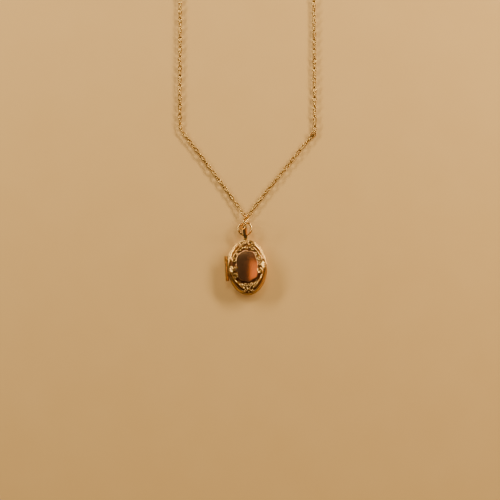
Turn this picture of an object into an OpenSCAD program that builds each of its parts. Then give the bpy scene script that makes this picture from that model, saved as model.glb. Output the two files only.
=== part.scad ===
// Oval hinged photo locket on a fine trace chain, in millimetres.
// The locket lies on its back: +Z up out of the front, +Y towards the bail,
// +X to the right. The origin is the centre of the flat back face.

/* [Locket] */
// Width of the oval covers
body_w = 14.2; // [12:0.1:17]
// Height of the oval covers
body_h = 20; // [17:0.1:24]
// Depth of the back half, up to the joint between the halves
back_d = 2.2; // [1.8:0.05:2.7]
// Depth of the domed front half
front_d = 2.75; // [2.3:0.05:3.3]
// Thickness of the pressed sheet
wall = 0.3; // [0.25:0.01:0.36]
// Gap between the closed halves
part_gap = 0.06; // [0.04:0.01:0.08]
// Radius of the plain bead around each rim
bead_r = 0.28; // [0.22:0.01:0.34]

/* [Hinge] */
// Outer diameter of the hinge tube
tube_d = 1.06; // [0.95:0.01:1.2]
// Diameter of the hinge pin
pin_d = 0.5; // [0.4:0.01:0.6]
// Length of the whole hinge
hinge_l = 9; // [7:0.1:10.5]
// Gap between neighbouring knuckles
knuckle_gap = 0.08; // [0.05:0.01:0.12]

/* [Picture parts] */
// Thickness of the inner plate under each picture
plate_t = 0.25; // [0.2:0.01:0.3]
// Thickness of a picture card
card_t = 0.2; // [0.15:0.01:0.25]
// Thickness of a clear window
window_t = 0.22; // [0.15:0.01:0.28]
// Width of the lip of a picture frame over its window
lip_w = 0.75; // [0.5:0.05:1]

/* [Bail and rings] */
// Thickness of the folded bail strip
strip_t = 0.32; // [0.26:0.01:0.4]
// Half width of the bail at its widest
bail_half_w = 0.88; // [0.75:0.01:0.95]
// Wire diameter of both jump rings
ring_wire = 0.66; // [0.55:0.01:0.68]
// Centre line radius of the ring through the bail
lower_r = 2.35; // [2.3:0.01:2.4]
// Centre line radius of the ring on the chain
upper_r = 2.6; // [2.55:0.01:2.65]

/* [Chain and clasp] */
// Width of a chain link, and so of the chain
chain_w = 1.3; // [1.1:0.05:1.4]
// Outer diameter of the bolt ring
clasp_d = 5.6; // [5:0.1:6.4]
// Diameter of the bolt ring's tube
clasp_tube = 1.1; // [1:0.05:1.2]

/* [Hidden] */
$fn = 96;

gold = [0.83, 0.6, 0.3];
rose = [0.8, 0.5, 0.3];
cream = [0.93, 0.9, 0.82];
clear = [0.8, 0.85, 0.9, 0.4];

half_w = body_w / 2;
half_h = body_h / 2;
stretch = body_h / body_w;
part_z = back_d;
front_z = part_z + part_gap;
crown_z = front_z + front_d;

// An oval solid: a round one of the given half profile, drawn out along Y
module oval() { scale([1, stretch, 1]) rotate_extrude($fn = 128) children(); }

// Half profile of a flat plate of radius r between two heights
module plate(r, low, high) { translate([0, low]) square([r, high - low]); }

// A round ring of wire lying flat about the origin
module wire_ring(r, wire) { rotate_extrude($fn = 72) translate([r, 0]) circle(d = wire, $fn = 24); }

// ---- Covers ----
cover_r = half_w - 0.2;
foot_inset = 2.3;
foot_r = cover_r - foot_inset;
bead_x = half_w - bead_r;

// A quarter sweep from flat at the first point to upright at the second
function sweep_up(r0, z0, r1, z1, n = 14) =
    [for (i = [0:n]) let (a = 90 * i / n) [r0 + (r1 - r0) * sin(a), z0 + (z1 - z0) * (1 - cos(a))]];

// A quarter sweep from upright at the rim to flat at the crown
function dome_over(r, z0, z1, n = 16) =
    [for (i = [0:n]) let (a = 90 * i / n) [r * cos(a), z0 + (z1 - z0) * sin(a)]];

module back_outside() {
    polygon(concat([[0, 0]], sweep_up(foot_r, 0, cover_r, part_z - bead_r),
        [[cover_r, part_z], [0, part_z]]));
    translate([bead_x, part_z - bead_r]) circle(r = bead_r, $fn = 24);
}
module back_hollow() {
    inner = cover_r - wall;
    polygon(concat([[0, wall]], sweep_up(foot_r - wall / 2, wall, inner, part_z - bead_r),
        [[inner, part_z + 1], [0, part_z + 1]]));
}
module front_outside() {
    polygon(concat([[0, front_z], [cover_r, front_z]], dome_over(cover_r, front_z + bead_r, crown_z)));
    translate([bead_x, front_z + bead_r]) circle(r = bead_r, $fn = 24);
}
module front_hollow() {
    inner = cover_r - wall;
    polygon(concat([[0, front_z - 1], [inner, front_z - 1]],
        dome_over(inner, front_z + bead_r, crown_z - wall)));
}

// ---- Hinge sizes ----
hinge_x = -(half_w + 0.5);
hinge_z = part_z + part_gap / 2;
tube_r = tube_d / 2;
relief_r = tube_r + 0.07;
pin_clear = 0.04;
knuckle_l = (hinge_l - 2 * knuckle_gap) / 3;
side_y = knuckle_l + knuckle_gap;

// A cylinder along the hinge axis, centred at height y
module on_hinge(r, l, y = 0) {
    translate([hinge_x, y, hinge_z]) rotate([90, 0, 0]) cylinder(r = r, h = l, center = true, $fn = 48);
}
module hinge_relief() { on_hinge(relief_r, hinge_l + 1); }

// Scoop for a thumbnail in both rims, opposite the hinge
scoop_r = 1.6;
scoop_deep = 0.25;
module thumb_scoop() { translate([half_w + scoop_r - scoop_deep, 0, hinge_z]) sphere(r = scoop_r); }

// Depth trimmed off under the back so that it ends in a true flat
foot_trim = 0.1;
module back_cover() {
    color(gold) difference() {
        oval() difference() {
            union() { back_outside(); plate(foot_r, -foot_trim, wall / 2); }
            back_hollow();
        }
        translate([-half_w, -half_h, -1]) cube([body_w, body_h, 1]);
        hinge_relief();
        thumb_scoop();
    }
}
module front_cover() {
    color(rose) difference() {
        oval() difference() { front_outside(); front_hollow(); }
        hinge_relief();
        thumb_scoop();
    }
}

// ---- Bezels: stepped oval rings soldered inside each rim ----
bezel_t = 0.3;
bezel_h = 1.15;
// The front bezel's inner end clears the dome over it
bezel_clear = 0.046;
bezel_rise = (bezel_h - bead_r) / (front_d - bead_r - wall);
bezel_out = (cover_r - wall) * sqrt(1 - pow(bezel_rise, 2)) - bezel_clear;
bezel_in = bezel_out - bezel_t;
flange_out = cover_r - wall - 0.02;
flange_t = 0.22;
back_bezel_z = part_z - 1.3;
front_bezel_z = front_z + bezel_h;
rim_set = 0.03;
tongue_w = 2.4;
tongue_t = 0.18;
tongue_inset = 0.33;
tongue_x = flange_out - tongue_inset;
tongue_clear = 0.12;

module back_bezel() {
    color(gold) oval() {
        translate([bezel_in, back_bezel_z]) square([bezel_t, part_z - rim_set - back_bezel_z]);
        translate([bezel_in, part_z - rim_set - flange_t]) square([flange_out - bezel_in, flange_t]);
    }
}
module front_bezel() {
    color(gold) difference() {
        oval() {
            translate([bezel_in, front_z + rim_set]) square([bezel_t, front_bezel_z - front_z - rim_set]);
            translate([bezel_in, front_z + rim_set]) square([flange_out - bezel_in, flange_t]);
        }
        translate([tongue_x - tongue_clear, -tongue_w / 2 - tongue_clear, front_z - 1])
            cube([tongue_t + 2 * tongue_clear + 0.05, tongue_w + 2 * tongue_clear, 3]);
    }
}

// Spring tongue that stands on the back flange and clicks into the front one
module snap_tongue() {
    color(gold) {
        translate([tongue_x, -tongue_w / 2, part_z - rim_set]) cube([tongue_t, tongue_w, 0.75]);
        translate([tongue_x + tongue_t - 0.02, 0, part_z + 0.55]) rotate([90, 0, 0])
            cylinder(r = 0.09, h = tongue_w - 0.4, center = true, $fn = 24);
    }
}

// ---- Picture parts, stacked from each inner plate out to the joint ----
seat = 0.04;
stack_gap = 0.01;
frame_r = bezel_in - seat;
card_r = frame_r - 0.1;
frame_set = 0.06;

back_plate_z = back_bezel_z;
back_card_z = back_plate_z + plate_t + stack_gap;
back_window_z = back_card_z + card_t + stack_gap;
back_frame_z = back_window_z + window_t + stack_gap;
front_plate_z = front_bezel_z;
front_card_z = front_plate_z - plate_t - stack_gap;
front_window_z = front_card_z - card_t - stack_gap;
front_frame_z = front_window_z - window_t - stack_gap;

module back_inner_plate() { color(gold) oval() plate(frame_r, back_plate_z, back_plate_z + plate_t); }
module front_inner_plate() { color(gold) oval() plate(frame_r, front_plate_z - plate_t, front_plate_z); }
module back_picture_card() { color(cream) oval() plate(card_r, back_card_z, back_card_z + card_t); }
module front_picture_card() { color(cream) oval() plate(card_r, front_card_z - card_t, front_card_z); }
module back_window() { color(clear) oval() plate(card_r, back_window_z, back_window_z + window_t); }
module front_window() { color(clear) oval() plate(card_r, front_window_z - window_t, front_window_z); }
module back_picture_frame() {
    color(gold) oval() translate([frame_r - lip_w, back_frame_z])
        square([lip_w, part_z - frame_set - back_frame_z]);
}
module front_picture_frame() {
    color(gold) oval() translate([frame_r - lip_w, front_z + frame_set])
        square([lip_w, front_frame_z - front_z - frame_set]);
}

// ---- Hinge pieces ----
leaf_t = 0.18;
leaf_l = 0.85;
leaf_set = 0.08;

// A knuckle centred at height y: a tube, and a leaf that is soldered to its own rim
module knuckle(y, leaf_z) {
    difference() {
        union() {
            on_hinge(tube_r, knuckle_l, y);
            translate([hinge_x, y - knuckle_l / 2, leaf_z]) cube([leaf_l, knuckle_l, leaf_t]);
        }
        on_hinge(pin_d / 2 + pin_clear, knuckle_l + 1, y);
    }
}
module back_knuckles() {
    color(gold) for (s = [-1, 1]) knuckle(s * side_y, hinge_z - leaf_set - leaf_t);
}
module front_knuckle() { color(gold) knuckle(0, hinge_z + leaf_set); }
module hinge_pin() { color(gold) on_hinge(pin_d / 2, hinge_l - 0.1); }

// ---- Bail: a strip folded over into a tapering eye ----
eye_z = 2.1;
eye_y = half_h + 1.7;
fold_y = half_h + 4.2;
fold_r = 0.98;
heel_y = half_h + 1.85;
heel_r = 0.93;
neck_y = half_h - 0.45;
neck_low = 1.4;
neck_high = part_z - 0.08;

module bail_side() {
    difference() {
        union() {
            translate([fold_y, eye_z]) circle(r = fold_r);
            translate([heel_y, eye_z]) circle(r = heel_r);
            polygon([[heel_y, eye_z - heel_r], [fold_y, eye_z - fold_r],
                [fold_y, eye_z + fold_r], [heel_y, eye_z + heel_r]]);
            polygon([[neck_y, neck_low], [half_h + 0.3, neck_low], [heel_y - 0.35, eye_z - 0.86],
                [heel_y - 0.35, eye_z + 0.86], [half_h + 0.3, neck_high], [neck_y, neck_high]]);
        }
        translate([fold_y, eye_z]) circle(r = fold_r - strip_t);
        translate([heel_y, eye_z]) circle(r = heel_r - strip_t);
        polygon([[heel_y, eye_z - heel_r + strip_t], [fold_y, eye_z - fold_r + strip_t],
            [fold_y, eye_z + fold_r - strip_t], [heel_y, eye_z + heel_r - strip_t]]);
    }
}
// The strip seen from the front: narrow at the neck, widest below the fold
bail_plan = [[neck_y, 0.5], [half_h + 1, 0.56], [half_h + 2.2, 0.72], [half_h + 3.1, bail_half_w],
    [half_h + 4, bail_half_w - 0.04], [half_h + 4.7, bail_half_w - 0.22], [half_h + 5.3, 0.42]];
module bail() {
    left = [for (p = bail_plan) [-p[1], p[0]]];
    right = [for (i = [len(bail_plan) - 1:-1:0]) [bail_plan[i][1], bail_plan[i][0]]];
    color(gold) intersection() {
        rotate([90, 0, 90]) linear_extrude(4, center = true) bail_side();
        linear_extrude(6) polygon(concat(left, right));
    }
}

// ---- Jump rings ----
lower_tilt = 8;
module lower_jump_ring() {
    color(gold) translate([0, eye_y, eye_z]) rotate([-lower_tilt, 0, 0])
        translate([0, lower_r, 0]) wire_ring(lower_r, ring_wire);
}
upper_y = half_h + 6.17;
upper_z = 2.93;
upper_yaw = 21;
upper_pitch = 34.3;
upper_roll = 72.6;

// Places children in the frame of the upper ring: +Y along its long way, up to the chain
module at_upper_ring() {
    translate([0, upper_y, upper_z]) rotate([0, 0, -upper_yaw]) rotate([-upper_pitch, 0, 0])
        rotate([0, -upper_roll, 0]) children();
}
module upper_jump_ring() { color(gold) at_upper_ring() wire_ring(upper_r, ring_wire); }

// ---- Chain ----
// The middle ring stands round the top of the upper ring and carries both runs
centre_r = 0.9;
centre_wire = 0.4;
hang_x = upper_r * sin(upper_yaw) * cos(upper_pitch);
hang_y = upper_y + upper_r * cos(upper_yaw) * cos(upper_pitch);
hang_z = upper_z - upper_r * sin(upper_pitch);
module chain_centre_ring() {
    color(gold) translate([hang_x, hang_y, hang_z]) rotate([0, 58, 56])
        wire_ring(centre_r, centre_wire);
}

chain_run_r = 0.5;
lie_z = 0.65;
left_route = [[0, 19.2, 1.2], [-1.3, 21.4, 0.85], [-3.3, 24.7, 0.65], [-6, 28.9, 0.65],
    [-9, 33.5, 0.65], [-12, 38.1, 0.65], [-15, 42.7, 0.65], [-18, 47.2, 0.65], [-20, 50.2, 0.65],
    [-21, 52.2, 0.65], [-21.2, 54.6, 0.65], [-21, 58, 0.65], [-20.7, 64, 0.65], [-20.4, 69, 0.65],
    [-20.1, 74, 0.65], [-19.8, 79, 0.65], [-19.5, 84, 0.65], [-19.2, 89, 0.65], [-18.9, 94, 0.65],
    [-18.6, 99, 0.65], [-18.4, 104, 0.65], [-18.3, 108, 0.65], [-18.3, 111, 0.65]];
right_route = [[1.6, 18.9, 0.75], [3.4, 21.2, 0.65], [6, 24.2, 0.65], [9, 27.6, 0.65],
    [12, 30.9, 0.65], [15, 34.2, 0.65], [18, 37.5, 0.65], [21, 40.8, 0.65], [24, 44, 0.65],
    [26.3, 46.4, 0.65], [27.4, 48.2, 0.65], [27.7, 51, 0.65], [27.9, 55, 0.65], [28.2, 60, 0.65],
    [28.5, 65, 0.65], [28.8, 70, 0.65], [29.1, 75, 0.65], [29.4, 80, 0.65], [29.7, 85, 0.65],
    [30, 90, 0.65], [30.3, 95, 0.65], [30.6, 100, 0.65], [30.8, 104, 0.65], [30.9, 108, 0.65],
    [30.9, 111, 0.65]];

function unit(v) = v / norm(v);
function heading(route, i) =
    unit(route[min(i + 1, len(route) - 1)] - route[max(i - 1, 0)]);
function ring_at(route, i, r, sides) = let (
        ahead = heading(route, i),
        across = unit(cross(ahead, [0, 0, 1])),
        above = cross(across, ahead))
    [for (k = [0:sides - 1]) let (a = 360 * (k + 0.5) / sides)
        route[i] + r * (cos(a) * across + sin(a) * above)];

// A closed tube of radius r swept along a route
module swept_tube(route, r, sides = 8) {
    n = len(route);
    points = [for (i = [0:n - 1]) for (p = ring_at(route, i, r, sides)) p];
    walls = [for (i = [0:n - 2]) for (k = [0:sides - 1]) let (
            a = i * sides + k, b = i * sides + (k + 1) % sides)
        [a, b, b + sides, a + sides]];
    near = [[for (k = [sides - 1:-1:0]) k]];
    far = [[for (k = [0:sides - 1]) (n - 1) * sides + k]];
    polyhedron(points = points, faces = concat(walls, near, far), convexity = 6);
}
module chain_left_run() { color(gold) swept_tube(left_route, chain_run_r); }
module chain_right_run() { color(gold) swept_tube(right_route, chain_run_r); }

// The put-away part of each run is wound into a flat coil beside its end
turn_r = 9.6;
turns = 2.6;
turn_pitch = chain_w + 0.05;
coil_y = 111;
left_coil_x = -18.3 + turn_r;
right_coil_x = 30.9 - turn_r;
coil_out = turn_r + chain_w / 2;
coil_in = turn_r - turns * turn_pitch - chain_w / 2;
// Directions in which the wound runs end, seen from their coils' centres
left_end_at = 180 - 360 * turns;
right_end_at = 360 * turns;
module coil_solid(x) {
    color(gold) translate([x, coil_y, 0]) rotate_extrude() translate([coil_in, 0])
        square([coil_out - coil_in, chain_w]);
}
module chain_left_coil() { coil_solid(left_coil_x); }
module chain_right_coil() { coil_solid(right_coil_x); }

// A rounder ring where the right run turns up
module corner_ring() {
    color(gold) translate([26.9, 47.2, lie_z]) rotate([25, 0, 50]) wire_ring(0.92, 0.42);
}

// ---- Bolt ring clasp, lying inside the left coil ----
clasp_r = (clasp_d - clasp_tube) / 2;
clasp_bore = clasp_tube / 2 - 0.17;
clasp_z = clasp_tube / 2 + 0.05;
mouth = 30;
slide_turn = 68;
slider_tail = 100;
knob_at = 42;
slot_from = knob_at - 6;
slot_to = knob_at + slide_turn + 6;
spring_from = slider_tail + 2;
spring_to = 290;
clasp_turn = left_end_at - 180;

// Puts children at the clasp's centre, its mouth turned away from the chain's end
module at_clasp() { translate([left_coil_x, coil_y, clasp_z]) rotate([0, 0, clasp_turn]) children(); }

// Part of a ring from one angle to another
module arc_sweep(from, to) { rotate([0, 0, from]) rotate_extrude(angle = to - from, $fn = 96) children(); }

module bolt_ring_tube() {
    color(gold) at_clasp() difference() {
        arc_sweep(mouth, 360 - mouth) translate([clasp_r, 0]) circle(d = clasp_tube, $fn = 32);
        arc_sweep(mouth - 1, spring_to + 4) translate([clasp_r, 0]) circle(r = clasp_bore, $fn = 32);
        arc_sweep(324, 361 - mouth) translate([clasp_r, 0]) circle(r = clasp_bore, $fn = 32);
        arc_sweep(slot_from, slot_to) translate([clasp_r - 0.24, 0]) square([0.48, clasp_tube]);
    }
}
module bolt_ring_slider() {
    knob_r = 0.17;
    color(gold) at_clasp() {
        arc_sweep(-34, slider_tail) translate([clasp_r, 0]) circle(r = clasp_bore - 0.05, $fn = 32);
        rotate([0, 0, knob_at]) translate([clasp_r, 0, 0]) {
            cylinder(r = knob_r, h = clasp_tube / 2 + 0.35, $fn = 24);
            translate([0, 0, clasp_tube / 2 + 0.15]) cylinder(r = 0.36, h = 0.3, $fn = 32);
        }
    }
}

// Coil spring bent round inside the tube behind the slider, as a sleeve of its outer size
spring_out = clasp_bore - 0.06;
spring_wire = 0.13;
module bolt_ring_spring() {
    color("silver") at_clasp() arc_sweep(spring_from, spring_to) translate([clasp_r, 0])
        difference() {
            circle(r = spring_out, $fn = 32);
            circle(r = spring_out - spring_wire, $fn = 32);
        }
}

// Small soldered eye on the side away from the mouth
eye_ring_r = 0.52;
eye_wire = 0.3;
eye_at = clasp_r + clasp_tube / 2 + eye_ring_r - 0.1;
module bolt_ring_eye() {
    color(gold) at_clasp() translate([-eye_at, 0, 0.15]) wire_ring(eye_ring_r, eye_wire);
}

// Link that joins the clasp's eye to the last link of the left run
link_r = 1.1;
link_wire = 0.4;
link_z = link_r + link_wire / 2 + 0.03;
module clasp_link() {
    color(gold) translate([0, 0, link_z - clasp_z]) at_clasp()
        translate([-eye_at - 0.92, 0, 0]) rotate([90, 0, 0]) wire_ring(link_r, link_wire);
}

// Larger ring on the end of the right run, for the clasp to catch
end_r = 1.35;
end_wire = 0.5;
module end_ring() {
    color(gold) translate([right_coil_x, coil_y, end_wire / 2 + 0.03]) rotate([0, 0, right_end_at])
        translate([coil_in - end_r + 0.1, 0, 0]) wire_ring(end_r, end_wire);
}

back_cover();
front_cover();
back_bezel();
front_bezel();
back_inner_plate();
front_inner_plate();
back_picture_card();
front_picture_card();
back_window();
front_window();
back_picture_frame();
front_picture_frame();
back_knuckles();
front_knuckle();
hinge_pin();
snap_tongue();
bail();
lower_jump_ring();
upper_jump_ring();
chain_centre_ring();
chain_left_run();
chain_right_run();
chain_left_coil();
chain_right_coil();
corner_ring();
bolt_ring_tube();
bolt_ring_slider();
bolt_ring_spring();
bolt_ring_eye();
clasp_link();
end_ring();
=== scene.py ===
import bpy
import math
import random
import numpy as np
from mathutils import Matrix, Vector


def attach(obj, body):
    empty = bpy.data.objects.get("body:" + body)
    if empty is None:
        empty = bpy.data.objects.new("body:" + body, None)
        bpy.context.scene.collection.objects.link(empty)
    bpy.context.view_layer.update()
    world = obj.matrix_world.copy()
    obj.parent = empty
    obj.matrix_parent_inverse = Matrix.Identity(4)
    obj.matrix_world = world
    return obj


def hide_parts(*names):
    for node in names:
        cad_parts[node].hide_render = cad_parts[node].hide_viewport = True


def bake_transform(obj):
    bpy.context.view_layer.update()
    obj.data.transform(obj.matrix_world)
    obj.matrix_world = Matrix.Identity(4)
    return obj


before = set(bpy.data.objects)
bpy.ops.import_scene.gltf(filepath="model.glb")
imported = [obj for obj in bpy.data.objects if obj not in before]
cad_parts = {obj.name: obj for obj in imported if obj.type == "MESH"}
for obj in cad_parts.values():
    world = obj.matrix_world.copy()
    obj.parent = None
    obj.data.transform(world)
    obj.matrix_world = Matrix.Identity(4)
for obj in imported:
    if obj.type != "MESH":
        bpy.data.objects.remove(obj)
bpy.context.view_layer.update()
random.seed(7)
mm = 0.001

# seen from above: angles in degrees, the rest in mm
view = dict(lean=3.5, tilt=6, aim=(1.36, 6.3, 1.5), away=600, wide=180, sensor=36, near=10)


def setCamera():
    lean = math.radians(view["lean"])
    tilt = math.radians(view["tilt"])
    up = Vector((math.sin(lean), math.cos(lean), 0))
    right = Vector((math.cos(lean), -math.sin(lean), 0))
    back = (Vector((0, 0, math.cos(tilt))) - up * math.sin(tilt)).normalized()
    bpy.ops.object.camera_add()
    camera = bpy.context.object
    camera.name = "viewCamera"
    spot = (Vector(view["aim"]) + back * view["away"]) * mm
    axes = Matrix((right, back.cross(right), back)).transposed()
    camera.matrix_world = Matrix.Translation(spot) @ axes.to_4x4()
    camera.data.sensor_width = view["sensor"]
    camera.data.lens = view["sensor"] * view["away"] / view["wide"]
    camera.data.clip_start = view["near"] * mm
    bpy.context.scene.camera = camera


# soft lamps, in metres and watts: a long low window at each side, a rosy one over the right of
# the centre and one high behind
lamps = [
    dict(name="windowRight", spot=(0.40, 0.26, 0.20), size=0.42, tall=0.06, power=3.6,
         tint=(1.0, 0.82, 0.52)),
    dict(name="windowLeft", spot=(-0.40, 0.30, 0.20), size=0.4, tall=0.05, power=2.6,
         tint=(1.0, 0.84, 0.56)),
    dict(name="copperSide", spot=(0.19, -0.02, 0.46), size=0.22, tall=0.3, power=0.24,
         tint=(1.0, 0.36, 0.1)),
    dict(name="highBack", spot=(-0.05, 0.42, 0.42), size=0.3, tall=0.08, power=0.9,
         tint=(1.0, 0.86, 0.6)),
]
room = dict(lampsAimAt=(0, 0.01, 0), tint=(0.06, 0.046, 0.032, 1), strength=1.0)


def addLamps():
    for lamp in lamps:
        bpy.ops.object.light_add(type="AREA", location=lamp["spot"])
        light = bpy.context.object
        light.name = lamp["name"]
        light.data.shape = "RECTANGLE"
        light.data.size = lamp["size"]
        light.data.size_y = lamp["tall"]
        light.data.energy = lamp["power"]
        light.data.color = lamp["tint"]
        aim = Vector(room["lampsAimAt"]) - Vector(lamp["spot"])
        light.rotation_euler = aim.to_track_quat("-Z", "Y").to_euler()
    world = bpy.data.worlds.new("room")
    world.use_nodes = True
    background = world.node_tree.nodes["Background"]
    background.inputs["Color"].default_value = room["tint"]
    background.inputs["Strength"].default_value = room["strength"]
    bpy.context.scene.world = world


# one output of a node, so that shader maths can be written as expressions
class Sock:
    def __init__(self, tree, socket=None):
        self.tree = tree
        self.socket = socket

    def node(self, kind, settings=None, inputs=None, out=0):
        made = self.tree.nodes.new(kind)
        for key, value in (settings or {}).items():
            if key == "stops":
                for stop, (place, tone) in zip(made.color_ramp.elements, value):
                    stop.position = place
                    stop.color = (tone, tone, tone, 1)
            else:
                setattr(made, key, value)
        for key, value in (inputs or {}).items():
            if isinstance(value, Sock):
                self.tree.links.new(value.socket, made.inputs[key])
            else:
                made.inputs[key].default_value = value
        return Sock(self.tree, made.outputs[out])

    def maths(self, how, first, second):
        return self.node("ShaderNodeMath", {"operation": how}, {0: first, 1: second})

    def __add__(self, other):
        return self.maths("ADD", self, other)

    __radd__ = __add__

    def __sub__(self, other):
        return self.maths("SUBTRACT", self, other)

    def __rsub__(self, other):
        return self.maths("SUBTRACT", other, self)

    def __mul__(self, other):
        return self.maths("MULTIPLY", self, other)

    __rmul__ = __mul__

    def clip(self):
        return self.node("ShaderNodeClamp", None, {0: self})


def mixTint(start, factor, low, high):
    return start.node("ShaderNodeMix", {"data_type": "RGBA"}, {0: factor, 6: low, 7: high}, out=2)


def newFinish(name):
    mat = bpy.data.materials.new(name)
    mat.use_nodes = True
    start = Sock(mat.node_tree)
    return mat, start, mat.node_tree.nodes["Principled BSDF"]


def plug(start, shader, **links):
    for key, value in links.items():
        socket = shader.inputs[key.replace("_", " ")]
        if isinstance(value, Sock):
            start.tree.links.new(value.socket, socket)
        else:
            socket.default_value = value


def objectPlace(start):
    return start.node("ShaderNodeTexCoord", out="Object")


def noise(start, place, scale, detail):
    return start.node("ShaderNodeTexNoise", None, {"Vector": place, "Scale": scale, "Detail": detail})


def bumps(start, height, strength, distance):
    return start.node("ShaderNodeBump", None,
                      {"Height": height, "Strength": strength, "Distance": distance})


# worn gold: scales are per metre, the rest are shares of roughness and height
gold = dict(smudge=260.0, cloud=900.0, smudgeStops=[(0.35, 0.0), (0.7, 1.0)], warmer=(0.97, 0.9, 0.8),
            cloudRough=0.08, smudgeRough=0.06, hairRough=0.1, cloudHigh=0.25, hairDeep=0.4,
            bump=0.22, bumpDistance=0.00002)
# two families of fine hairlines, stretched along two directions
hairlines = [
    dict(turn=(0.3, 0.2, 0.7), stretch=(1.0, 14.0, 14.0), scale=700.0,
         stops=[(0.6, 0.0), (0.72, 1.0)]),
    dict(turn=(0.1, 0.5, -0.9), stretch=(13.0, 1.0, 13.0), scale=600.0,
         stops=[(0.62, 0.0), (0.74, 1.0)]),
]
# the struck front only: a rosier dented centre, and grime in what lies sunk round the relief
struck = dict(rosy=(0.84, 0.46, 0.22, 1), rosyDeep=(0.7, 0.36, 0.17, 1), dents=330.0, dentHigh=1.6,
              centreRough=0.035, grime=(0.1, 0.04, 0.016, 1), grain=3600.0, grimeEven=0.75,
              grimeCloudy=0.8, grimeHigh=0.9, grimeRough=0.3)


def hairMask(start, place, hair):
    run = start.node("ShaderNodeMapping", None,
                     {"Vector": place, "Rotation": hair["turn"], "Scale": hair["stretch"]})
    grain = noise(start, run, hair["scale"], 3.0)
    return start.node("ShaderNodeValToRGB", {"stops": hair["stops"]}, {0: grain})


def goldFinish(name, tint, smooth=0.16, hairs=0.5, isStruck=False):
    mat, start, shader = newFinish(name)
    place = objectPlace(start)
    cloud = noise(start, place, gold["cloud"], 5.0)
    warm = start.node("ShaderNodeValToRGB", {"stops": gold["smudgeStops"]},
                      {0: noise(start, place, gold["smudge"], 4.0)})
    wear = (hairMask(start, place, hairlines[0]) + hairMask(start, place, hairlines[1])) * 0.5
    warmTint = tuple(c * k for c, k in zip(tint, gold["warmer"]))
    colour = mixTint(start, warm, (*tint, 1), (*warmTint, 1))
    roughness = (smooth + cloud * gold["cloudRough"] + warm * gold["smudgeRough"]
                 + wear * (gold["hairRough"] * hairs))
    height = cloud * gold["cloudHigh"] - wear * (gold["hairDeep"] * hairs)
    if isStruck:
        sunk = start.node("ShaderNodeAttribute", {"attribute_name": "sunk"}, out="Fac")
        centre = start.node("ShaderNodeAttribute", {"attribute_name": "plain"}, out="Fac")
        dents = noise(start, place, struck["dents"], 2.0)
        grain = start.node("ShaderNodeTexVoronoi", None, {"Vector": place, "Scale": struck["grain"]})
        grime = (sunk * (struck["grimeEven"] + struck["grimeCloudy"] * cloud)).clip()
        rosy = mixTint(start, dents, struck["rosy"], struck["rosyDeep"])
        colour = mixTint(start, grime, mixTint(start, centre, colour, rosy), struck["grime"])
        roughness = roughness + centre * struck["centreRough"] + grime * struck["grimeRough"]
        height = height + centre * dents * struck["dentHigh"] + grime * grain * struck["grimeHigh"]
    plug(start, shader, Base_Color=colour, Roughness=roughness, Metallic=1.0,
         Normal=bumps(start, height, gold["bump"], gold["bumpDistance"]))
    return mat


# the other finishes: their colours
tints = dict(cloth=(0.86, 0.58, 0.24, 1), clothDeep=(0.81, 0.53, 0.21, 1), card=(0.86, 0.8, 0.66, 1),
             cardAged=(0.78, 0.68, 0.5, 1), film=(0.97, 0.96, 0.92, 1), steel=(0.62, 0.6, 0.57, 1))


def floorFinish():
    mat, start, shader = newFinish("paleCloth")
    speck = noise(start, objectPlace(start), 60.0, 3.0)
    colour = mixTint(start, speck, tints["cloth"], tints["clothDeep"])
    plug(start, shader, Base_Color=colour, Roughness=0.9)
    return mat


def cardFinish():
    mat, start, shader = newFinish("blankCard")
    place = objectPlace(start)
    fibre, age = noise(start, place, 2600.0, 6.0), noise(start, place, 180.0, 2.0)
    plug(start, shader, Base_Color=mixTint(start, age, tints["card"], tints["cardAged"]), Roughness=0.85,
         Normal=bumps(start, fibre, 0.3, 0.00003))
    return mat


def windowFinish():
    mat, start, shader = newFinish("clearFilm")
    ripple = noise(start, objectPlace(start), 220.0, 1.0)
    plug(start, shader, Base_Color=tints["film"], Roughness=0.05, Alpha=0.22,
         Normal=bumps(start, ripple, 0.15, 0.0001))
    return mat


def steelFinish():
    mat, start, shader = newFinish("springSteel")
    drawn = noise(start, objectPlace(start), 3000.0, 3.0)
    plug(start, shader, Base_Color=tints["steel"], Metallic=1.0, Roughness=0.22 + drawn * 0.12)
    return mat


def freshStart():
    # back to object mode with nothing selected, before an operator acts
    if bpy.context.object and bpy.context.object.mode != "OBJECT":
        bpy.ops.object.mode_set(mode="OBJECT")
    bpy.ops.object.select_all(action="DESELECT")


def rename(piece, name, mat):
    piece.name = name
    piece.data.name = name
    piece.data.materials.clear()
    piece.data.materials.append(mat)
    return piece


def points(piece):
    flat = np.empty(len(piece.data.vertices) * 3)
    piece.data.vertices.foreach_get("co", flat)
    return flat.reshape(-1, 3)


def setPoints(piece, spots):
    piece.data.vertices.foreach_set("co", np.asarray(spots, dtype=float).ravel())
    piece.data.update()


def pick(piece):
    freshStart()
    piece.select_set(True)
    bpy.context.view_layer.objects.active = piece


def settle(piece):
    pick(piece)
    bpy.ops.object.transform_apply(location=True, rotation=True, scale=True)


def faceOut(piece):
    pick(piece)
    bpy.ops.object.mode_set(mode="EDIT")
    bpy.ops.mesh.select_all(action="SELECT")
    bpy.ops.mesh.remove_doubles(threshold=1e-7)
    bpy.ops.mesh.normals_make_consistent(inside=False)
    bpy.ops.object.mode_set(mode="OBJECT")


def smooth(piece, angle):
    pick(piece)
    bpy.ops.object.shade_smooth_by_angle(angle=math.radians(angle))


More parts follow.
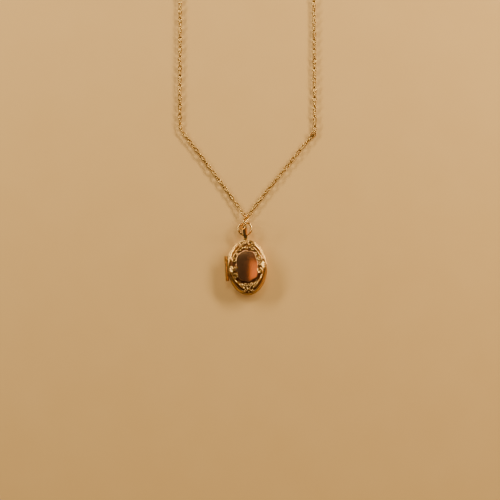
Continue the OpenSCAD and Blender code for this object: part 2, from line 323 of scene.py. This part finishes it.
def loft(name, sections, mat, closed=False):
    # a skin over rings of points, capped at both ends unless the rings close on themselves
    count, around = len(sections), len(sections[0])
    faces = []
    for i in range(count if closed else count - 1):
        for k in range(around):
            one, two = i * around, (i + 1) % count * around
            faces.append((one + k, one + (k + 1) % around, two + (k + 1) % around, two + k))
    if not closed:
        faces.append(tuple(range(around)))
        faces.append(tuple(reversed(range((count - 1) * around, count * around))))
    mesh = bpy.data.meshes.new(name)
    mesh.from_pydata([tuple(c * mm for c in p) for ring in sections for p in ring], [], faces)
    piece = bpy.data.objects.new(name, mesh)
    bpy.context.collection.objects.link(piece)
    faceOut(piece)
    rename(piece, name, mat)
    smooth(piece, 50)
    return piece


def together(pieces, name, mat):
    freshStart()
    for piece in pieces:
        piece.select_set(True)
    bpy.context.view_layer.objects.active = pieces[0]
    bpy.ops.object.join()
    return rename(bpy.context.object, name, mat)


# the chain, in mm and degrees: a link's share of the run is its inner length and the slack, and
# the reach is how far from the coil's middle the last link ends
chain = dict(linkLong=2.5, linkWide=1.3, wire=0.37, slack=0.02, bend=0.25, lie=0.65, lean=8, sway=14,
             turnRadius=9.6, turns=2.6, turnParts=24, turnPitch=1.35, coilY=111, leftReach=4.6,
             rightReach=5.0)

# where each half lies, point by point, as far as its coil
leftRoute = [[0, 19.2, 1.2], [-1.3, 21.4, 0.85], [-3.3, 24.7, 0.65], [-6, 28.9, 0.65],
             [-9, 33.5, 0.65], [-12, 38.1, 0.65], [-15, 42.7, 0.65], [-18, 47.2, 0.65],
             [-20, 50.2, 0.65], [-21, 52.2, 0.65], [-21.2, 54.6, 0.65], [-21, 58, 0.65],
             [-20.7, 64, 0.65], [-20.4, 69, 0.65], [-20.1, 74, 0.65], [-19.8, 79, 0.65],
             [-19.5, 84, 0.65], [-19.2, 89, 0.65], [-18.9, 94, 0.65], [-18.6, 99, 0.65],
             [-18.4, 104, 0.65], [-18.3, 108, 0.65], [-18.3, 111, 0.65]]
rightRoute = [[1.6, 18.9, 0.75], [3.4, 21.2, 0.65], [6, 24.2, 0.65], [9, 27.6, 0.65],
              [12, 30.9, 0.65], [15, 34.2, 0.65], [18, 37.5, 0.65], [21, 40.8, 0.65],
              [24, 44, 0.65], [26.3, 46.4, 0.65], [27.4, 48.2, 0.65], [27.7, 51, 0.65],
              [27.9, 55, 0.65], [28.2, 60, 0.65], [28.5, 65, 0.65], [28.8, 70, 0.65],
              [29.1, 75, 0.65], [29.4, 80, 0.65], [29.7, 85, 0.65], [30, 90, 0.65],
              [30.3, 95, 0.65], [30.6, 100, 0.65], [30.8, 104, 0.65], [30.9, 108, 0.65],
              [30.9, 111, 0.65]]


def woundRoute(route, side, reach):
    # the coil starts where the route ends: side is +1 when its centre is to the right
    radius, pitch = chain["turnRadius"], chain["turnPitch"]
    middle = Vector((route[-1][0] + side * radius, chain["coilY"], chain["lie"]))
    spots = [Vector(p) for p in route]
    parts = chain["turnParts"]
    for i in range(1, round(chain["turns"] * parts) + 1):
        turned = i / parts
        angle = math.pi * (side > 0) - side * 2 * math.pi * turned
        out = Vector((math.cos(angle), math.sin(angle), 0))
        spots.append(middle + (radius - pitch * turned) * out)
    # the last link turns in to hang on the ring at the end
    spots[-1] = middle + reach * out
    return spots


def fineRoute(spots, part=10):
    # a smooth curve through the route's points
    fine = []
    for i in range(len(spots) - 1):
        before = spots[max(i - 1, 0)]
        after = spots[min(i + 2, len(spots) - 1)]
        a, b = spots[i], spots[i + 1]
        for k in range(part):
            t = k / part
            fine.append(0.5 * ((2 * a) + (b - before) * t + (2 * before - 5 * a + 4 * b - after) * t * t
                               + (3 * a - before - 3 * b + after) * t * t * t))
    fine.append(spots[-1])
    return fine


def evenSpots(fine, gap):
    reach = np.cumsum([0] + [(b - a).length for a, b in zip(fine, fine[1:])])
    places = np.linspace(0, reach[-1], round(reach[-1] / gap) + 1)
    axes = np.array([list(p) for p in fine])
    return np.stack([np.interp(places, reach, axes[:, k]) for k in range(3)], axis=1), reach[-1]


def linkShape():
    # a torus pulled out to an oval, with few faces because the chain has hundreds of them
    freshStart()
    wire = chain["wire"]
    bpy.ops.mesh.primitive_torus_add(major_segments=12, minor_segments=4, minor_radius=wire / 2 * mm,
                                     major_radius=(chain["linkWide"] - wire) / 2 * mm)
    link = bpy.context.object
    stretch = (chain["linkLong"] - chain["linkWide"]) / 2 * mm
    spots = points(link)
    spots[:, 0] += np.clip(spots[:, 0] / (chain["bend"] * mm), -1, 1) * stretch
    setPoints(link, spots)
    return link


def layChain(name, route, side, reach):
    wound = woundRoute(route, side, reach)
    fine = fineRoute(wound)
    pitch = chain["linkLong"] - 2 * chain["wire"] + chain["slack"]
    ends, length = evenSpots(fine, pitch)
    link = linkShape()
    copies = []
    for i in range(len(ends) - 1):
        a, b = Vector(ends[i]), Vector(ends[i + 1])
        ahead = (b - a).normalized()
        flat = Vector((0, 0, 1)).cross(ahead).normalized()
        # every other link stands across the last, each a little off true
        roll = math.radians(90 * (i % 2) + chain["lean"] + random.uniform(-chain["sway"], chain["sway"]))
        face = Matrix.Rotation(roll, 3, ahead) @ flat
        axes = Matrix((ahead, face, ahead.cross(face))).transposed()
        one = link.copy()
        one.data = link.data.copy()
        bpy.context.collection.objects.link(one)
        one.data.transform(Matrix.Translation((a + b) / 2 * mm) @ axes.to_4x4())
        copies.append(one)
    bpy.data.objects.remove(link)
    run = together(copies, name, shadedChainGold)
    smooth(run, 180)
    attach(run, "chain")
    path = [list(p * mm) for p in wound]
    print(name, len(copies), "links", round(length, 1), "mm")
    return run, path, length * mm


setCamera()
addLamps()
print("camera and lamps set")

yellowGold = goldFinish("yellowGold", (0.78, 0.55, 0.22))
ringGold = goldFinish("ringGold", (0.76, 0.54, 0.23), smooth=0.12)
# the chain's gold is the same gold painted darker: painted shade for the dark reflections of its small
# links
shadedChainGold = goldFinish("shadedChainGold", (0.54, 0.38, 0.14), smooth=0.14, hairs=0.2)
faceGold = goldFinish("faceGold", (0.8, 0.54, 0.21), smooth=0.13, isStruck=True)
innerGold = goldFinish("innerGold", (0.84, 0.58, 0.3), smooth=0.3)
blankCard = cardFinish()
clearFilm = windowFinish()
springSteel = steelFinish()

leftRun, leftPath, leftLength = layChain("chainLeft", leftRoute, 1, chain["leftReach"])
rightRun, rightPath, rightLength = layChain("chainRight", rightRoute, -1, chain["rightReach"])
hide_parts("chain_left_run", "chain_left_coil")
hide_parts("chain_right_run", "chain_right_coil")
print("chain laid")


# the die-struck front, in mm: the domed sheet with its relief, then the rolled rim
cover = dict(halfWide=7.1, halfHigh=10.0, shell=6.9, rimZ=2.26, bead=0.28, rise=2.47, sheet=0.3,
             backing=0.16, spokes=560, rings=150, inside=10, field=0.3, centreSoft=0.35,
             edgeFrom=0.955, edgeWide=0.03, edgeSink=0.9, pastMiddle=0.6, cleanAbove=0.16,
             plainBelow=0.05, innerGrime=0.3, hingeAt=(-7.6, 2.23), hingeRoom=0.62,
             thumbAt=(8.45, 2.23), thumbScoop=1.6)
# its plain middle: a full oval, a little off the middle, with shallow cusps
plainCentre = dict(at=(-0.12, 0.35), halfWide=4.1, halfHigh=5.8, fullness=2.5, cuspDepth=0.07, cusps=4,
                   cuspTurn=0.4, scale=4.2)


def ovalArc(level, fromTop, toTop, count=16):
    # a stretch of an oval inside the rim, by angle from the top
    spots = []
    for i in range(count + 1):
        a = math.radians(fromTop + (toTop - fromTop) * i / count)
        spots.append((cover["halfWide"] * level * math.sin(a), cover["halfHigh"] * level * math.cos(a)))
    return spots


def flankFrom(spot, level, toTop, count=16):
    # an arc that leaves a point and eases to another level inside the rim
    across, along = spot[0] / cover["halfWide"], spot[1] / cover["halfHigh"]
    first, start = math.hypot(across, along), math.degrees(math.atan2(across, along))
    spots = []
    for i in range(1, count + 1):
        part = i / count
        # at the new level before the end of the arc
        now = first + (level - first) * min(1, 1.6 * part)
        spots += ovalArc(now, 0, start + (toTop - start) * part, 1)[1:]
    return spots


def curl(middle, outer, inner, fromAngle, turn, count=20):
    # a scroll that winds in from its outer radius
    spots = []
    for i in range(count + 1):
        part = i / count
        a = math.radians(fromAngle + turn * part)
        r = outer + (inner - outer) * part ** 0.8
        spots.append((middle[0] + r * math.cos(a), middle[1] + r * math.sin(a)))
    return spots


def taper(count, fat, start=0.35, end=0.35):
    # widths along a stroke: thin at its ends, fat at its middle
    widths = []
    for i in range(count + 1):
        thin, near = (start, i) if i < count / 2 else (end, count - i)
        widths.append(fat * (thin + (1 - thin) * min(1, 4 * near / count)))
    return widths


def smoothLine(spots, count=6):
    # a soft curve through a few points
    fine = fineRoute([Vector((*p, 0)) for p in spots], count)
    return [(p.x, p.y) for p in fine]


def strokes(side):
    # each stroke: points, half widths and height, in mm from the middle of the cover; side is 1 for
    # the right of the cover and -1 for the left, whose shells stand a little lower
    made = []
    slip = 0.7 * side

    def add(spots, fat, high, start=0.35, end=0.35):
        made.append((spots, taper(len(spots) - 1, fat, start, end), high))

    def bead(x, y, size, high=0.26):
        made.append(([(x, y), (x + 0.02, y)], [size, size], high))

    # upper flank: three bold crescents, the middle one winding into a scroll
    add(ovalArc(0.91, 20, 80 - 3 * side), 0.4, 0.42, 0.8, 0.1)
    add(ovalArc(0.775, 19, 58) + curl((4.5, 2.95), 1.1, 0.3, 48, -400), 0.29, 0.38, 0.7, 0.8)
    add(smoothLine([(2.1, 7.2), (3.05, 6.6), (3.75, 5.6), (4.2, 4.6)]), 0.24, 0.32, 0.5, 0.3)
    add(smoothLine([(3.35, 5.35), (3.55, 4.5), (3.4, 3.9)]), 0.18, 0.2, 0.3, 0.6)
    bead(4.6, 2.95, 0.26, 0.3)
    # lower flank: a ring scroll and its two long crescents
    add(ovalArc(0.915, 106 - 6 * side, 167), 0.38, 0.38, 0.12, 0.6)
    scroll = curl((4.5, -2.4 + slip), 0.24, 1.08, 395, -400)
    add(scroll + flankFrom(scroll[-1], 0.76, 162), 0.29, 0.38, 0.85, 0.3)
    add(smoothLine([(3.6, -4.5 + 0.4 * slip), (3.55, -5.7), (2.9, -6.8), (2.1, -7.7)]),
        0.25, 0.32, 0.35, 0.3)
    bead(4.5, -2.4 + slip, 0.3, 0.34)
    # side shell: petals fanned from a root beside the centre
    root = (5.0, -0.2 + slip)
    for k in range(-2, 3):
        a = math.radians(25 * k)
        tip = (root[0] + 1.35 * math.cos(a), root[1] + 1.7 * math.sin(a))
        made.append(([root, tip], [0.14, 0.36], 0.32))
    add(smoothLine([(4.75, 1.0 + slip), (4.45, 0.25 + slip), (4.5, -0.6 + slip)]), 0.3, 0.34, 0.45, 0.45)
    bead(3.9, 0.15 + 0.3 * slip, 0.24)
    # top flower with its scrolls
    for a in (90, 38, -14):
        tip = (1.0 * math.cos(math.radians(a)), 8.75 + 0.62 * math.sin(math.radians(a)))
        made.append(([(0.12, 8.75), tip], [0.14, 0.36], 0.36))
    bead(0, 8.7, 0.3, 0.42)
    add(smoothLine([(0.9, 8.0), (1.5, 8.3), (2.1, 8.0), (2.35, 7.5)]), 0.27, 0.3, 0.5, 0.3)
    add(curl((1.45, 7.15), 0.66, 0.2, 110, -340, 14), 0.2, 0.28, 0.5, 0.9)
    add(curl((2.3, 6.35), 0.6, 0.2, 100, -320, 14), 0.19, 0.26, 0.4, 0.9)
    add(smoothLine([(0.0, 7.75), (0.5, 7.3), (0.45, 6.7), (0.0, 6.4)]), 0.23, 0.28, 0.4, 0.6)
    bead(0.0, 7.05, 0.18, 0.22)
    # bottom leaves and scrolls
    add(curl((1.05, -6.35), 0.62, 0.2, 250, 340, 14), 0.22, 0.28, 0.5, 0.9)
    add(smoothLine([(0.3, -6.6), (0.75, -7.3), (0.35, -8.0), (0.8, -8.6)]), 0.25, 0.3, 0.4, 0.5)
    add(curl((1.15, -8.65), 0.5, 0.18, 100, -300, 12), 0.2, 0.28, 0.4, 0.9)
    add(smoothLine([(1.55, -7.75), (2.0, -7.1), (2.15, -6.3), (2.75, -5.7)]), 0.28, 0.3, 0.4, 0.3)
    add(smoothLine([(2.95, -4.95), (3.05, -5.6), (2.6, -6.1)]), 0.2, 0.24, 0.3, 0.6)
    made.append(([(0, -6.2), (0, -6.55)], [0.12, 0.22], 0.26))
    bead(0, -9.05, 0.3, 0.3)
    return made


def strokeHeight(x, y, stroke):
    # a round ridge along the stroke; away is the distance from it in half widths
    spots, fat, high = stroke
    best = np.full(x.shape, 9.0)
    for (ax, ay), (bx, by), fa, fb in zip(spots, spots[1:], fat, fat[1:]):
        dx, dy = bx - ax, by - ay
        size = max(dx * dx + dy * dy, 1e-9)
        t = np.clip(((x - ax) * dx + (y - ay) * dy) / size, 0, 1)
        away = np.hypot(x - ax - t * dx, y - ay - t * dy) / (fa + (fb - fa) * t)
        best = np.minimum(best, away)
    return high * np.sqrt(np.clip(1 - best ** 2, 0, 1))


def centreEdge(x, y):
    # distance in from the edge of the plain centre
    across = (x - plainCentre["at"][0]) / plainCentre["halfWide"]
    along = (y - plainCentre["at"][1]) / plainCentre["halfHigh"]
    power = plainCentre["fullness"]
    away = (np.abs(across) ** power + np.abs(along) ** power) ** (1 / power)
    around = plainCentre["cusps"] * np.arctan2(across, along) + plainCentre["cuspTurn"]
    cusp = np.abs(np.sin(around)) ** 3
    return (1 - plainCentre["cuspDepth"] * cusp - away) * plainCentre["scale"]


def step(value):
    # eases from 0 to 1
    value = np.clip(value, 0, 1)
    return value * value * (3 - 2 * value)


def reliefAt(x, y, level):
    # height over the dome, which is 0 on the plain centre and the edge and sunk between them
    plain = step(centreEdge(x, y) / cover["centreSoft"] + 0.5)
    edge = step((level - cover["edgeFrom"]) / cover["edgeWide"])
    height = -cover["field"] * (1 - plain) * (1 - edge)
    raised = np.zeros_like(x)
    for side in (1, -1):
        ownHalf = x * side > -cover["pastMiddle"]
        for stroke in strokes(side):
            raised = np.maximum(raised, strokeHeight(x * side, y, stroke) * ownHalf)
    return height + raised * (1 - edge * cover["edgeSink"]), raised, plain, edge


def cutAway(piece, cutter):
    freshStart()
    bpy.context.view_layer.objects.active = piece
    cut = piece.modifiers.new("cut", "BOOLEAN")
    cut.operation = "DIFFERENCE"
    cut.object = cutter
    bpy.ops.object.modifier_apply(modifier=cut.name)
    bpy.data.objects.remove(cutter)


def rimBead():
    # the rolled rim, eased for the hinge on the left and scooped for a thumbnail on the right
    freshStart()
    bpy.ops.mesh.primitive_torus_add(major_segments=300, minor_segments=22,
                                     major_radius=(cover["halfWide"] - cover["bead"]) * mm,
                                     minor_radius=cover["bead"] * mm)
    rim = bpy.context.object
    spots = points(rim)
    spots[:, 1] *= cover["halfHigh"] / cover["halfWide"]
    spots[:, 2] += (cover["rimZ"] + cover["bead"]) * mm
    setPoints(rim, spots)
    hingeX, hingeZ = cover["hingeAt"]
    bpy.ops.mesh.primitive_cylinder_add(vertices=48, radius=cover["hingeRoom"] * mm, depth=10 * mm,
                                        location=(hingeX * mm, 0, hingeZ * mm),
                                        rotation=(math.pi / 2, 0, 0))
    cutAway(rim, bpy.context.object)
    thumbX, thumbZ = cover["thumbAt"]
    bpy.ops.mesh.primitive_uv_sphere_add(segments=64, ring_count=32, radius=cover["thumbScoop"] * mm,
                                         location=(thumbX * mm, 0, thumbZ * mm))
    cutAway(rim, bpy.context.object)
    smooth(rim, 40)
    return rim


def strikeFront():
    # a grid wrapped round: its rows run from the middle over the outside to the rim, then back inside
    freshStart()
    spokes, rings, inside = cover["spokes"], cover["rings"], cover["inside"]
    bpy.ops.mesh.primitive_grid_add(x_subdivisions=spokes, y_subdivisions=rings + inside, size=2)
    front = bpy.context.object
    grid = points(front)
    around = (grid[:, 0] + 1) * math.pi
    row = np.rint((grid[:, 1] + 1) / 2 * (rings + inside)).astype(int)
    outside = row <= rings
    sweep = np.where(outside, row / rings, (rings + inside - row) / inside)
    level = np.sin(np.clip(sweep, 0, 1) * math.pi / 2)
    wide = cover["shell"]
    stretch = cover["halfHigh"] / cover["halfWide"]
    x = wide * level * np.sin(around)
    y = wide * stretch * level * np.cos(around)
    height, raised, plain, edge = reliefAt(x, y, level)
    foot = cover["rimZ"] + cover["bead"]
    drop = np.sqrt(np.clip(1 - level ** 2, 0, 1))
    z = foot + cover["rise"] * drop
    normal = np.stack([x / wide ** 2, y / (wide * stretch) ** 2, (z - foot) / cover["rise"] ** 2],
                      axis=1)
    normal /= np.linalg.norm(normal, axis=1, keepdims=True)
    spots = np.stack([x, y, z], axis=1) + normal * height[:, None]
    inner = (wide - cover["sheet"]) / wide
    innerRise = cover["rise"] - cover["sheet"] - cover["backing"]
    under = np.stack([x * inner, y * inner, foot + innerRise * drop], axis=1)
    spots = np.where(outside[:, None], spots, under)
    setPoints(front, spots * mm)
    ground = np.clip(1 - raised / cover["cleanAbove"], 0, 1) * (1 - plain) * (1 - edge)
    masks = dict(sunk=np.where(outside, ground, cover["innerGrime"]),
                 plain=np.where(outside, plain * (raised < cover["plainBelow"]), 0))
    for name, mask in masks.items():
        layer = front.data.attributes.new(name, "FLOAT", "POINT")
        layer.data.foreach_set("value", mask.astype(np.float32))
    faceOut(front)
    smooth(front, 180)
    front = together([front, rimBead()], "frontCover", faceGold)
    print("front struck", len(front.data.polygons), "faces")
    return front


# the soldered cut of a ring: a slight swelling with a fine line at its middle, in mm
solder = dict(swell=0.1, swellWide=0.35, line=0.16, lineWide=0.05)
# rings, in mm: radius to the middle of the wire; the seam is an angle in radians
lowerRing = dict(name="lowerRing", body="lower_ring", node="lower_jump_ring", radius=2.35, wire=0.66,
                 seam=2.6, around=96, section=20, nearestAt=(0, 11.7, 2.1), lean=-8)
upperRing = dict(name="upperRing", body="upper_ring", node="upper_jump_ring", radius=2.6, wire=0.66,
                 seam=0.8, around=96, section=20, at=(0, 16.17, 2.93), turns=(-21, -34.3, -72.6))
lastRing = dict(name="endRing", body="chain", node="end_ring", radius=1.35, wire=0.5, seam=2.9,
                around=64, section=16, fromCoil=4.19, lie=0.47, lean=8)


def oneRing(ring, middle, turn):
    freshStart()
    radius = ring["radius"]
    bpy.ops.mesh.primitive_torus_add(major_segments=ring["around"], minor_segments=ring["section"],
                                     major_radius=radius * mm, minor_radius=ring["wire"] / 2 * mm)
    piece = bpy.context.object
    spots = points(piece)
    angle = np.arctan2(spots[:, 1], spots[:, 0])
    off = np.abs(np.angle(np.exp(1j * (angle - ring["seam"])))) * radius
    swell = (1 + solder["swell"] * np.exp(-(off / solder["swellWide"]) ** 2)
             - solder["line"] * np.exp(-(off / solder["lineWide"]) ** 2))
    core = np.stack([radius * mm * np.cos(angle), radius * mm * np.sin(angle), 0 * angle], axis=1)
    setPoints(piece, core + (spots - core) * swell[:, None])
    piece.matrix_world = Matrix.Translation(Vector(middle) * mm) @ turn.to_4x4()
    settle(piece)
    rename(piece, ring["name"], ringGold)
    smooth(piece, 180)
    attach(piece, ring["body"])
    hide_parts(ring["node"])
    return piece


# the bail, in mm: a strip folded round a ring hole and a smaller heel, each (place, radius) in the
# side view, on a neck that rises from the rim; widths are (place, half width)
bail = dict(strip=0.32, crown=0.035, round=0.05, backRound=0.04, backWidth=0.97, ring=(14.2, 0.95),
            heel=(11.85, 0.9), height=2.1, foldParts=24,
            widths=[(9.5, 0.56), (11, 0.68), (12.2, 0.82), (13.1, 0.92), (14, 0.86), (14.7, 0.68),
                    (15.3, 0.44)],
            neckFrom=9.5, neckLong=1.75, neckZ=1.76, neckClimb=0.34, neckHalf=0.33, neckSpread=0.4,
            neckParts=12, neckSquare=0.6, neckSides=24)


def bandSection(y, z, out, wide):
    # across the strip: nine points on the crowned side, five back on the side of the hollow; out is
    # the direction (y, z) away from the hollow
    ring = []
    half = bail["strip"] / 2
    for k in range(9):
        u = -1 + k / 4
        lift = half + bail["crown"] * (1 - u * u) - bail["round"] * abs(u) ** 8
        ring.append((u * wide, y + out[0] * lift, z + out[1] * lift))
    for k in range(5):
        u = 1 - k / 2
        lift = -half + bail["backRound"] * abs(u) ** 8
        ring.append((u * wide * bail["backWidth"], y + out[0] * lift, z + out[1] * lift))
    return ring


def squared(value):
    # a sine or cosine pushed out towards a square
    return math.copysign(abs(value) ** bail["neckSquare"], value)


def makeBail():
    ys, ws = zip(*bail["widths"])
    big, heel = bail["ring"], bail["heel"]
    lean = math.degrees(math.asin((big[1] - heel[1]) / (big[0] - heel[0])))
    sections = []
    for fold, start, stop in ((big, -90 - lean, 90 + lean), (heel, 90 + lean, 270 - lean)):
        reach = fold[1] - bail["strip"] / 2
        for k in range(bail["foldParts"] + 1):
            a = math.radians(start + (stop - start) * k / bail["foldParts"])
            out = (math.cos(a), math.sin(a))
            y, z = fold[0] + out[0] * reach, bail["height"] + out[1] * reach
            sections.append(bandSection(y, z, out, float(np.interp(y, ys, ws))))
    loop = loft("bailLoop", sections, ringGold, closed=True)
    neck = []
    for k in range(bail["neckParts"] + 1):
        part = k / bail["neckParts"]
        y = bail["neckFrom"] + bail["neckLong"] * part
        wide = float(np.interp(y, ys, ws))
        middle = bail["neckZ"] + bail["neckClimb"] * part
        tall = bail["neckHalf"] + bail["neckSpread"] * part ** 2
        neck.append([(wide * squared(math.cos(a)), y, middle + tall * squared(math.sin(a)))
                     for a in np.linspace(0, 2 * math.pi, bail["neckSides"], endpoint=False)])
    piece = together([loop, loft("bailNeck", neck, ringGold)], "hangerBail", ringGold)
    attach(piece, "locket_back")
    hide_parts("bail")


def turned(x=0, y=0, z=0):
    return (Matrix.Rotation(math.radians(z), 3, "Z") @ Matrix.Rotation(math.radians(y), 3, "Y")
            @ Matrix.Rotation(math.radians(x), 3, "X"))


makeBail()
# the lower ring is placed by its point nearest the locket; the upper one is turned about y, then x,
# then z
lowerTurn = turned(x=lowerRing["lean"])
lowerMiddle = Vector(lowerRing["nearestAt"]) + lowerTurn @ Vector((0, lowerRing["radius"], 0))
oneRing(lowerRing, lowerMiddle, lowerTurn)
turnZ, turnX, turnY = upperRing["turns"]
oneRing(upperRing, upperRing["at"], turned(z=turnZ) @ turned(x=turnX) @ turned(y=turnY))
# the last ring lies inside the right coil, where the chain turns in to it
endAt = math.radians(180 + 360 * chain["turns"])
coilX = rightRoute[-1][0] - chain["turnRadius"]
endMiddle = (coilX - lastRing["fromCoil"] * math.cos(endAt),
             chain["coilY"] - lastRing["fromCoil"] * math.sin(endAt), lastRing["lie"])
endRing = oneRing(lastRing, endMiddle, turned(z=math.degrees(endAt)) @ turned(y=lastRing["lean"]))
print("bail and rings made")


# the clasp's spring, in mm and degrees: wound round an arc of the bolt ring, from first to last
spring = dict(coils=38, wire=0.07, coilRadius=0.27, ringRadius=2.25, first=104, last=288,
              middle=(-8.7, 111, 0.6), turn=144, coilParts=12, sides=5)


def windSpring():
    turn = Matrix.Rotation(math.radians(spring["turn"]), 3, "Z")
    middle, up = Vector(spring["middle"]), Vector((0, 0, 1))
    steps = spring["coils"] * spring["coilParts"]

    def outAt(degrees):
        a = math.radians(degrees)
        return Vector((math.cos(a), math.sin(a), 0))

    sections = []
    for i in range(steps + 1):
        out = outAt(spring["first"] + (spring["last"] - spring["first"]) * i / steps)
        b = 2 * math.pi * i / spring["coilParts"]
        face = out * math.cos(b) + up * math.sin(b)
        along = out.cross(up)
        core = out * spring["ringRadius"] + face * spring["coilRadius"]
        section = []
        for k in range(spring["sides"]):
            c = 2 * math.pi * k / spring["sides"]
            wire = spring["wire"] / 2 * (face * math.cos(c) + along * math.sin(c))
            section.append(tuple(turn @ (core + wire) + middle))
        sections.append(section)
    piece = loft("claspSpring", sections, springSteel)
    # its two ends on the bolt ring, worked out but not used: nothing here presses it together when the
    # slider is drawn back
    ends = [turn @ (outAt(spring[k]) * spring["ringRadius"]) + middle for k in ("last", "first")]
    ends[0] * mm
    ends[1] * mm
    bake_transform(piece)
    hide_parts("bolt_ring_spring")
    return piece


claspSpring = windSpring()

frontCover = strikeFront()
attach(frontCover, "locket_front")
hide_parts("front_cover")


# the pieces that stay as they came get their finishes
finishes = {
    "back_cover": yellowGold, "back_bezel": yellowGold, "front_bezel": yellowGold,
    "back_inner_plate": innerGold, "front_inner_plate": innerGold,
    "back_picture_card": blankCard, "front_picture_card": blankCard,
    "back_window": clearFilm, "front_window": clearFilm,
    "back_picture_frame": yellowGold, "front_picture_frame": yellowGold,
    "back_knuckles": yellowGold, "front_knuckle": yellowGold, "hinge_pin": ringGold,
    "snap_tongue": yellowGold,
    "chain_centre_ring": ringGold, "corner_ring": ringGold, "bolt_ring_tube": ringGold,
    "bolt_ring_slider": ringGold, "bolt_ring_eye": ringGold,
    "clasp_link": ringGold}
for nodeName, finish in finishes.items():
    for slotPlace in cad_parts[nodeName].material_slots:
        slotPlace.material = finish
print("finishes set")

freshStart()
bpy.ops.mesh.primitive_plane_add(size=3)  # metres
floor = rename(bpy.context.object, "floor", floorFinish())
